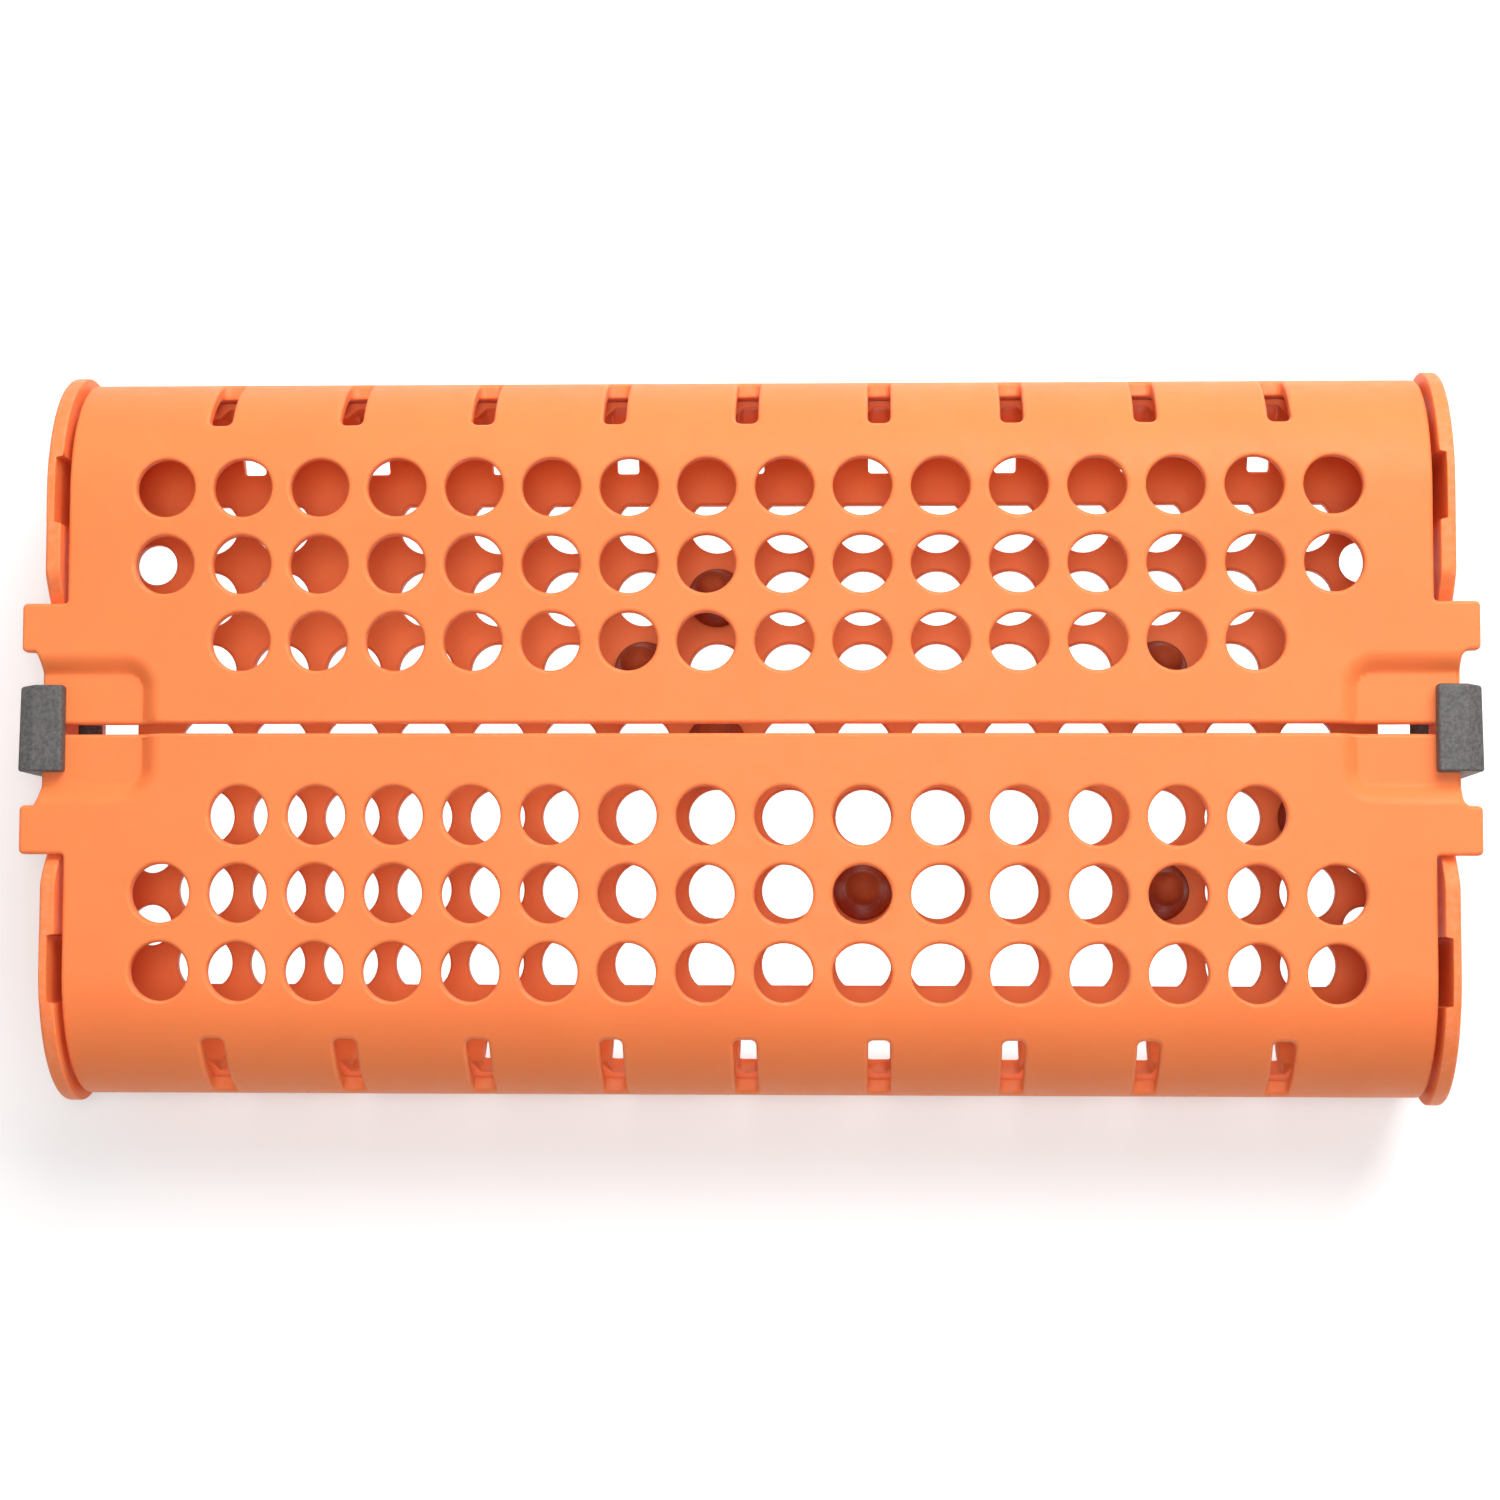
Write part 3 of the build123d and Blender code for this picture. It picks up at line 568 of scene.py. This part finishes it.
def plate_parts(s):
    """The plate at the +X end with its grooves, latch window and bores, and the lugs for the latch pin.

    Below the window the plate's lower edge rises in an arch to the floor's upper face. The plate is a sheet
    of (across, up, level). Its inner face is pressed in where a groove or the opening under the latch is: by
    the depth, times a smooth step of the distance inside that shape's outline over soft, times
    1 - level / thickness.
    """
    under = PIVOT_Z + LID_R - s.lid - s.rest_gap
    swing = (PIVOT_Y - s.tab_far + LID_R - s.lid + s.tab_bevel) / sqrt(2) - s.fit
    half, reach = LATCH_HIGH.y + s.fit, LATCH_HIGH.x - PIN_X
    window = (PIN_Z - reach - s.fit, PIN_Z + s.window_rise)
    arch = PIVOT_Z - (LID_R - s.lid - s.roll_gap) + s.wall
    soft, half_groove = 0.3 * MM, s.groove / 2
    shares = np.linspace(0, 1, 5)

    def place(across, up, level):
        side = np.hypot(abs(across) - PIVOT_Y, np.minimum(up - PIVOT_Z, 0)) - half_groove
        sink = np.maximum(abs(across) - half, up - window[0] - soft)
        press = s.groove_deep * ease(side, 0, -soft) + s.sink_deep * ease(sink, 0, -soft)
        return np.stack([s.inside / 2 + level + press * (1 - level / s.plate), across, up], -1)

    widths = half_groove - soft * shares
    around = np.degrees(np.arccos(widths / PLATE_R))
    angles = np.sort(np.concatenate([np.linspace(-90, 90, 61), around]))
    shoulder = np.degrees(np.arcsin(np.array([PLATE_R, under - PIVOT_Z]) / swing))
    step = np.linspace(180 - shoulder[0], 180 - shoulder[1], 7)[1:-1]
    nose = PIVOT_Y - swing * np.cos(np.radians(shoulder))
    right = [(half, arch, 0.6 * MM), (half, 0, 0.8 * MM)]
    right += bend((PIVOT_Y, PIVOT_Z), (PLATE_R, PLATE_R), angles)
    right += [(PIVOT_Y - width, 2 * PLATE_R, 0) for width in widths[::-1]]
    right += [(nose[0], 2 * PLATE_R, 3 * MM)] + bend((PIVOT_Y, PIVOT_Z), (swing, swing), step)
    right += [(nose[1], under, 0.5 * MM), (s.seat, under, 0.8 * MM), (s.seat, under - s.recess, 0.6 * MM)]
    outline = finer(both_ways(right), 1.6 * MM)
    holes = [oblong((-half, half), window, 0.6 * MM)]
    holes += [circle(side * PIVOT_Y, PIVOT_Z, s.stub + 0.06 * MM) for side in (-1, 1)]
    turns = np.radians(np.linspace(180, 360, 31))
    bottom = np.stack([np.cos(turns), np.sin(turns)], 1)[None] * widths[:, None, None] + (PIVOT_Y, PIVOT_Z)
    levels = np.arange(PIVOT_Z + 0.5 * MM, 2 * PLATE_R, 0.55 * MM)
    sides = np.vstack([lattice(PIVOT_Y + widths, levels), lattice(PIVOT_Y - widths, levels)])
    floor = lattice(half - soft * shares, np.arange(arch, window[0], 0.6 * MM))
    wide = np.vstack([bottom.reshape(-1, 2), sides, floor])
    grid = np.vstack([wide, wide * (-1, 1)])
    parts = [sheet(place, s.plate, outline, holes, (s.rim, s.fine_rim), grid)]
    bore, lug = (ROD_HIGH.z - ROD_LOW.z) / 2, s.lug
    near, far = half, half + s.lug_long
    ring = turned([(near, bore, 0.1 * MM), (far, bore, 0.15 * MM), (far, lug, 0.3 * MM),
                   (near, lug, 0.3 * MM)], 1, (PIN_X, 0, PIN_Z))
    return parts + [ring, flipped(ring, OTHER_SIDE)]


def latch_parts(s):
    """The latch at the +X end: one side section in (X, Z), carried across its width with rounded edges.

    Its outer face leans out: a point moves by a smooth step across the leg, times an amount that grows
    evenly from the rear side to the front. The rear side steps in smoothly along the bevel.
    """
    out, top, width = LATCH_HIGH.x, LATCH_HIGH.z, LATCH_HIGH.y - LATCH_LOW.y
    tip, leg = LATCH_LOW.x + 0.3 * MM, out - s.leg
    section = bend((PIN_X, PIN_Z), (s.barrel, s.barrel), np.linspace(90, 270, 25))
    section += bend((PIN_X, PIN_Z), (out - PIN_X, s.barrel), np.linspace(270, 355, 13)[1:])
    section += [(out, PIN_Z + 0.4 * MM, 0), (out, top - s.bevel_drop, 0.6 * MM),
                (out - s.bevel, top, 0.6 * MM), (tip, top, 0.5 * MM),
                (tip, top - s.hook, 0.5 * MM), (leg, top - s.hook, 0.8 * MM),
                (leg, PIN_Z + s.barrel, 0.8 * MM), (PIN_X + 0.3 * MM, PIN_Z + s.barrel, 0)]
    bore = circle(PIN_X, PIN_Z, (ROD_HIGH.z - ROD_LOW.z) / 2 + 0.05 * MM, 24)

    def place(across, up, level):
        lean = (s.lean + s.lean_growth * level / width) * ease(across, leg, out)
        inset = s.side_step * ease(across, out - s.bevel - 0.2 * MM, out) * (1 - level / width)
        return np.stack([across + lean, width / 2 - level - inset, up], -1)

    return [sheet(place, width, rounded(section), [bore], (0.4 * MM, 0.4 * MM))]


def pin_parts(s):
    """The latch pin at the +X end, a turned rod with rounded tips."""
    radius = (ROD_HIGH.z - ROD_LOW.z) / 2
    rod = [(ROD_HIGH.y, 0, 0), (ROD_HIGH.y, radius, 0.2 * MM), (ROD_LOW.y, radius, 0.2 * MM),
           (ROD_LOW.y, 0, 0)]
    return [turned(rod, 1, (PIN_X, 0, PIN_Z), 32)]


def post_parts(s, centre):
    """A post: lip, neck in the floor hole, taper and domed tip, turned about the hole's axis."""
    under = PIVOT_Z - (LID_R - s.lid - s.roll_gap)
    floor, top = under + s.wall, under + s.wall + s.post_high
    dome = [(top - s.post_tip * (1 - np.sin(turn)), s.post_tip * np.cos(turn), 0)
            for turn in np.radians(np.linspace(84, 0, 12))]
    neck, lip = s.hole / 2 - 0.05 * MM, s.post_lip
    foot = [(floor, s.post_base, 0.4 * MM), (floor, neck, 0), (under, neck, 0), (under, lip, 0.2 * MM),
            (POST_LOW.z, lip, 0.3 * MM), (POST_LOW.z, 0, 0)]
    return [turned([(top, 0, 0)] + dome + foot, 2, (centre.x, centre.y, 0))]


class Graph:
    """A material's nodes, made one by one."""

    def __init__(self, name):
        self.material = bpy.data.materials.new(name)
        self.material.use_nodes = True
        self.tree = self.material.node_tree
        self.shader = self.tree.nodes["Principled BSDF"]
        self.place = self.node("ShaderNodeTexCoord").outputs["Object"]

    def node(self, kind, inputs=(), **settings):
        """A node with its settings; an input is a value or another node's output."""
        made = self.tree.nodes.new(kind)
        for key, value in settings.items():
            setattr(made, key, value)
        for key, value in dict(inputs).items():
            if isinstance(value, bpy.types.NodeSocket):
                self.tree.links.new(value, made.inputs[key])
            else:
                made.inputs[key].default_value = value
        return made

    def noise(self, scale, detail=2.0, rough=0.5, stretch=(1, 1, 1)):
        """Noise over object coordinates, about 0 to 1, whose features are 1 / scale metres across."""
        place = self.node("ShaderNodeMapping", {"Vector": self.place, "Scale": stretch}).outputs["Vector"]
        inputs = {"Vector": place, "Scale": scale, "Detail": detail, "Roughness": rough}
        return self.node("ShaderNodeTexNoise", inputs).outputs["Fac"]

    def ramp(self, value, low, high, to_low=0.0, to_high=1.0):
        """The value from low to high, as to_low to to_high."""
        inputs = {"Value": value, "From Min": low, "From Max": high, "To Min": to_low, "To Max": to_high}
        return self.node("ShaderNodeMapRange", inputs).outputs["Result"]

    def mix(self, share, first, second):
        inputs = {"Factor": share, "A": first, "B": second}
        made = self.node("ShaderNodeMix", data_type="RGBA")
        for key, value in inputs.items():
            socket = [item for item in made.inputs if item.name == key and item.enabled][0]
            if isinstance(value, bpy.types.NodeSocket):
                self.tree.links.new(value, socket)
            else:
                socket.default_value = value
        return [item for item in made.outputs if item.enabled][0]

    def maths(self, operation, first, second):
        made = self.node("ShaderNodeMath", {0: first, 1: second}, operation=operation)
        return made.outputs["Value"]

    def bump(self, height, distance, strength=1.0, before=None):
        inputs = {"Height": height, "Distance": distance, "Strength": strength}
        if before is not None:
            inputs["Normal"] = before
        return self.node("ShaderNodeBump", inputs).outputs["Normal"]

    def set(self, **inputs):
        """Sets or links the shader's own inputs; an underscore stands for a space."""
        for key, value in inputs.items():
            socket = self.shader.inputs[key.replace("_", " ")]
            if isinstance(value, bpy.types.NodeSocket):
                self.tree.links.new(value, socket)
            else:
                socket.default_value = value
        return self.material


def shade(colour, factor):
    return tuple(min(1.0, part * factor) for part in colour) + (1.0,)


def moulded_orange(colour):
    """Matte moulded plastic that light soaks into: cloudy, finely grained, with scuffs, and with a painted
    highlight that makes its rounded edges paler.
    """
    graph = Graph("moulded_orange")
    clouds = graph.ramp(graph.noise(60, 3), 0.35, 0.65)
    base = graph.mix(clouds, shade(colour, 0.97), shade(colour, 1.03))
    grain = graph.noise(2600, 2, 0.6)
    base = graph.mix(graph.ramp(grain, 0.3, 0.7, 0.0, 0.12), base, shade(colour, 0.86))
    # Painted highlight: the rounded edges, where the normal turns sideways, are mixed towards a pale colour,
    # broken up by noise
    edge = graph.node("ShaderNodeAttribute", attribute_name="edge").outputs["Fac"]
    painted_edge_highlight = graph.maths("MULTIPLY", graph.ramp(edge, 0.2, 0.8, 0, 0.3),
                       graph.ramp(graph.noise(900, 3), 0.45, 0.7))
    pale = tuple(0.75 * part + 0.2 for part in colour) + (1.0,)
    base = graph.mix(painted_edge_highlight, base, pale)
    marks = graph.ramp(graph.noise(700, 2, 0.5, (0.25, 1, 1)), 0.72, 0.76)
    patches = graph.ramp(graph.noise(45, 1), 0.56, 0.64, 0, 0.16)
    base = graph.mix(graph.maths("MULTIPLY", marks, patches), base, pale)
    rough = graph.ramp(graph.noise(400, 3), 0.3, 0.7, 0.42, 0.56)
    normal = graph.bump(graph.noise(180, 2), 0.02 * MM, 0.6)
    normal = graph.bump(grain, 0.02 * MM, 0.5, normal)
    return graph.set(Base_Color=base, Roughness=rough, Normal=normal, IOR=1.49, Subsurface_Weight=0.5,
                     Subsurface_Radius=(1.0, 0.45, 0.3), Subsurface_Scale=1.2 * MM, Specular_IOR_Level=0.22)


def grey_plastic(colour):
    """Glass-filled grey plastic: a dense pale and dark speckle on a slightly rough skin, with a painted
    highlight on its rounded edges.
    """
    graph = Graph("speckled_grey")
    speckle = graph.noise(1900, 3, 0.7)
    base = graph.mix(graph.ramp(speckle, 0.38, 0.62), shade(colour, 0.5), shade(colour, 1.5))
    base = graph.mix(graph.ramp(graph.noise(70, 2), 0.35, 0.65, 0, 0.3), base, shade(colour, 0.9))
    # Painted highlight: the rounded edges are lightened towards 1.5 times the colour
    edge = graph.node("ShaderNodeAttribute", attribute_name="edge").outputs["Fac"]
    base = graph.mix(graph.ramp(edge, 0.2, 0.9, 0, 0.25), base, shade(colour, 1.5))
    rough = graph.ramp(graph.noise(500, 3), 0.3, 0.7, 0.42, 0.6)
    return graph.set(Base_Color=base, Roughness=rough, Normal=graph.bump(speckle, 0.02 * MM, 0.5), IOR=1.5,
                     Specular_IOR_Level=0.3)


def post_rubber(colour):
    """Soft dark red rubber: dusty variation and a dull skin."""
    graph = Graph("post_rubber")
    dust = graph.ramp(graph.noise(350, 4, 0.6), 0.4, 0.7)
    base = graph.mix(dust, shade(colour, 0.85), shade(colour, 1.2))
    rough = graph.ramp(graph.noise(900, 2), 0.3, 0.7, 0.5, 0.68)
    normal = graph.bump(graph.noise(1500, 2), 0.02 * MM, 0.5)
    return graph.set(Base_Color=base, Roughness=rough, Normal=normal, IOR=1.5, Specular_IOR_Level=0.12)


def drawn_steel(colour):
    """Drawn steel rod: fine lines along it and slight clouding."""
    graph = Graph("drawn_steel")
    lines = graph.noise(4000, 2, 0.5, (1, 0.03, 1))
    base = graph.mix(lines, shade(colour, 0.85), shade(colour, 1.1))
    rough = graph.ramp(lines, 0.3, 0.7, 0.22, 0.4)
    return graph.set(Base_Color=base, Roughness=rough, Metallic=1.0,
                     Normal=graph.bump(lines, 0.01 * MM, 0.3))


def floor_finish(colour):
    """Pale floor: white to the camera where it is lit, and with a painted glow under the cassette, as if lit
    from below, that only camera, glossy and transmission rays see.
    """
    graph = Graph("pale_floor")
    base = graph.mix(graph.ramp(graph.noise(8, 2), 0.3, 0.7), shade(colour, 0.98), shade(colour, 1.0))
    axes = graph.node("ShaderNodeSeparateXYZ", {"Vector": graph.place}).outputs
    # Mask of the painted glow under the cassette: 1 inside the cassette's outline, falling to 0 at it
    across = graph.ramp(graph.maths("ABSOLUTE", axes["X"], 0), 0.104, 0.1)
    up = graph.ramp(graph.maths("ABSOLUTE", axes["Y"], 0), 0.05, 0.042)
    # Painted glow: emission 1.1 under the cassette and 0.3 elsewhere
    under = graph.ramp(graph.maths("MULTIPLY", across, up), 0, 1, 0.3, 1.1)
    rays = graph.node("ShaderNodeLightPath").outputs
    seen = graph.maths("MAXIMUM", rays["Is Camera Ray"], graph.maths(
        "MAXIMUM", rays["Is Glossy Ray"], rays["Is Transmission Ray"]))
    glow = graph.maths("MULTIPLY", under, seen)
    return graph.set(Base_Color=base, Roughness=0.8, Emission_Color=(1, 1, 1, 1), Emission_Strength=glow,
                     Specular_IOR_Level=0.1)


class CASSETTE_OT_tub(bpy.types.Operator):
    """Floor, walls and both end plates of the tub"""

    bl_idname = "cassette.tub"
    bl_label = "Tub"

    def execute(self, context):
        s, colours = context.scene.cassette_sizes, context.scene.cassette_colours
        end = plate_parts(s)
        parts = [tub_shell(s)] + end + [flipped(part, OTHER_END) for part in end]
        put("tub_moulding", parts, moulded_orange(colours.body), "base", "orange_plastic", "tub")
        return {"FINISHED"}


class CASSETTE_OT_doors(bpy.types.Operator):
    """Both doors, the front one the rear one mirrored"""

    bl_idname = "cassette.doors"
    bl_label = "Doors"

    def execute(self, context):
        parts, skin = lid_parts(context.scene.cassette_sizes), bpy.data.materials["moulded_orange"]
        put("rear_door_moulding", parts, skin, "door_rear", "orange_plastic", "door_rear")
        parts = [flipped(part, OTHER_SIDE) for part in parts]
        put("front_door_moulding", parts, skin, "door_front", "orange_plastic", "door_front")
        return {"FINISHED"}


class CASSETTE_OT_latches(bpy.types.Operator):
    """The grey latch at each end"""

    bl_idname = "cassette.latches"
    bl_label = "Latches"

    def execute(self, context):
        s, colours = context.scene.cassette_sizes, context.scene.cassette_colours
        parts, skin = latch_parts(s), grey_plastic(colours.latch)
        put("right_latch_clip", parts, skin, "latch_right", "grey_plastic", "latch_right")
        parts = [flipped(part, OTHER_END) for part in parts]
        put("left_latch_clip", parts, skin, "latch_left", "grey_plastic", "latch_left")
        return {"FINISHED"}


class CASSETTE_OT_pins(bpy.types.Operator):
    """The steel pin that each latch turns on"""

    bl_idname = "cassette.pins"
    bl_label = "Latch pins"

    def execute(self, context):
        s, colours = context.scene.cassette_sizes, context.scene.cassette_colours
        parts, skin = pin_parts(s), drawn_steel(colours.pin)
        put("right_latch_rod", parts, skin, "base", "steel", "latch_pin_right")
        parts = [flipped(part, OTHER_END) for part in parts]
        put("left_latch_rod", parts, skin, "base", "steel", "latch_pin_left")
        return {"FINISHED"}


class CASSETTE_OT_posts(bpy.types.Operator):
    """A rubber post in each floor hole that has one"""

    bl_idname = "cassette.posts"
    bl_label = "Posts"

    def execute(self, context):
        s, colours = context.scene.cassette_sizes, context.scene.cassette_colours
        skin = post_rubber(colours.post)
        for number, node in enumerate(POSTS, 1):
            low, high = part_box(node)
            put(f"rubber_post_{number}", post_parts(s, (low + high) / 2), skin, "base", "post_rubber", node)
        return {"FINISHED"}


class CASSETTE_OT_stage(bpy.types.Operator):
    """Pale floor, soft light and the photograph's camera"""

    bl_idname = "cassette.stage"
    bl_label = "Stage"

    def execute(self, context):
        mesh = bpy.data.meshes.new("floor")
        mesh.from_pydata((lattice((-2, 2), (-2, 2)) @ np.eye(2, 3)).tolist(), [], [(0, 1, 3, 2)])
        mesh.materials.append(floor_finish(context.scene.cassette_colours.floor))
        floor = bpy.data.objects.new("floor", mesh)
        bpy.context.scene.collection.objects.link(floor)
        self.lamp("key", (0.17, 0.36, 0.46), 3.7, 0.40)
        self.lamp("front", (0.02, -0.03, 0.66), 1.25, 0.12)
        world = bpy.data.worlds.new("studio")
        bpy.context.scene.world = world
        world.use_nodes = True
        nodes, links = world.node_tree.nodes, world.node_tree.links
        rays, pick = nodes.new("ShaderNodeLightPath"), nodes.new("ShaderNodeMapRange")
        pick.inputs["To Min"].default_value = 0.34
        pick.inputs["To Max"].default_value = 1.0
        seen = rays.outputs["Is Camera Ray"]
        for kind in ("Is Glossy Ray", "Is Transmission Ray"):
            either = nodes.new("ShaderNodeMath")
            either.operation = "MAXIMUM"
            links.new(seen, either.inputs[0])
            links.new(rays.outputs[kind], either.inputs[1])
            seen = either.outputs["Value"]
        links.new(seen, pick.inputs["Value"])
        links.new(pick.outputs["Result"], nodes["Background"].inputs["Strength"])
        nodes["Background"].inputs["Color"].default_value = (1, 1, 1, 1)
        lens = bpy.data.cameras.new("camera")
        lens.lens = LENS
        lens.sensor_width = 36
        camera = bpy.data.objects.new("camera", lens)
        camera.location = CAMERA_PLACE
        camera.rotation_euler = [radians(turn) for turn in CAMERA_TURN]
        bpy.context.scene.collection.objects.link(camera)
        bpy.context.scene.camera = camera
        bpy.context.scene.view_settings.view_transform = "Standard"
        return {"FINISHED"}

    def lamp(self, name, place, power, size):
        """A soft square lamp that faces the middle of the cassette."""
        light = bpy.data.lights.new(name, "AREA")
        light.energy, light.size = power, size
        lamp = bpy.data.objects.new(name, light)
        lamp.location = place
        lamp.rotation_euler = (-lamp.location).to_track_quat("-Z", "Y").to_euler()
        bpy.context.scene.collection.objects.link(lamp)


STEPS = (CASSETTE_OT_tub, CASSETTE_OT_doors, CASSETTE_OT_latches, CASSETTE_OT_pins, CASSETTE_OT_posts,
         CASSETTE_OT_stage)


class CASSETTE_PT_panel(bpy.types.Panel):
    """Sizes, colours and the steps of the build"""

    bl_idname = "CASSETTE_PT_panel"
    bl_label = "Instrument cassette"
    bl_space_type = "VIEW_3D"
    bl_region_type = "UI"
    bl_category = "Cassette"

    def draw(self, context):
        for group in (context.scene.cassette_sizes, context.scene.cassette_colours):
            box = self.layout.box()
            for name in group.__annotations__:
                box.prop(group, name)
        for step in STEPS:
            self.layout.operator(step.bl_idname)


CLASSES = (CassetteSizes, CassetteColours) + STEPS + (CASSETTE_PT_panel,)


def register():
    for item in CLASSES:
        bpy.utils.register_class(item)
    bpy.types.Scene.cassette_sizes = PointerProperty(type=CassetteSizes)
    bpy.types.Scene.cassette_colours = PointerProperty(type=CassetteColours)


def unregister():
    del bpy.types.Scene.cassette_colours
    del bpy.types.Scene.cassette_sizes
    for item in reversed(CLASSES):
        bpy.utils.unregister_class(item)


def main():
    register()
    bpy.ops.cassette.tub()
    bpy.ops.cassette.doors()
    bpy.ops.cassette.latches()
    bpy.ops.cassette.pins()
    bpy.ops.cassette.posts()
    bpy.ops.cassette.stage()


if __name__ == "__main__":
    main()
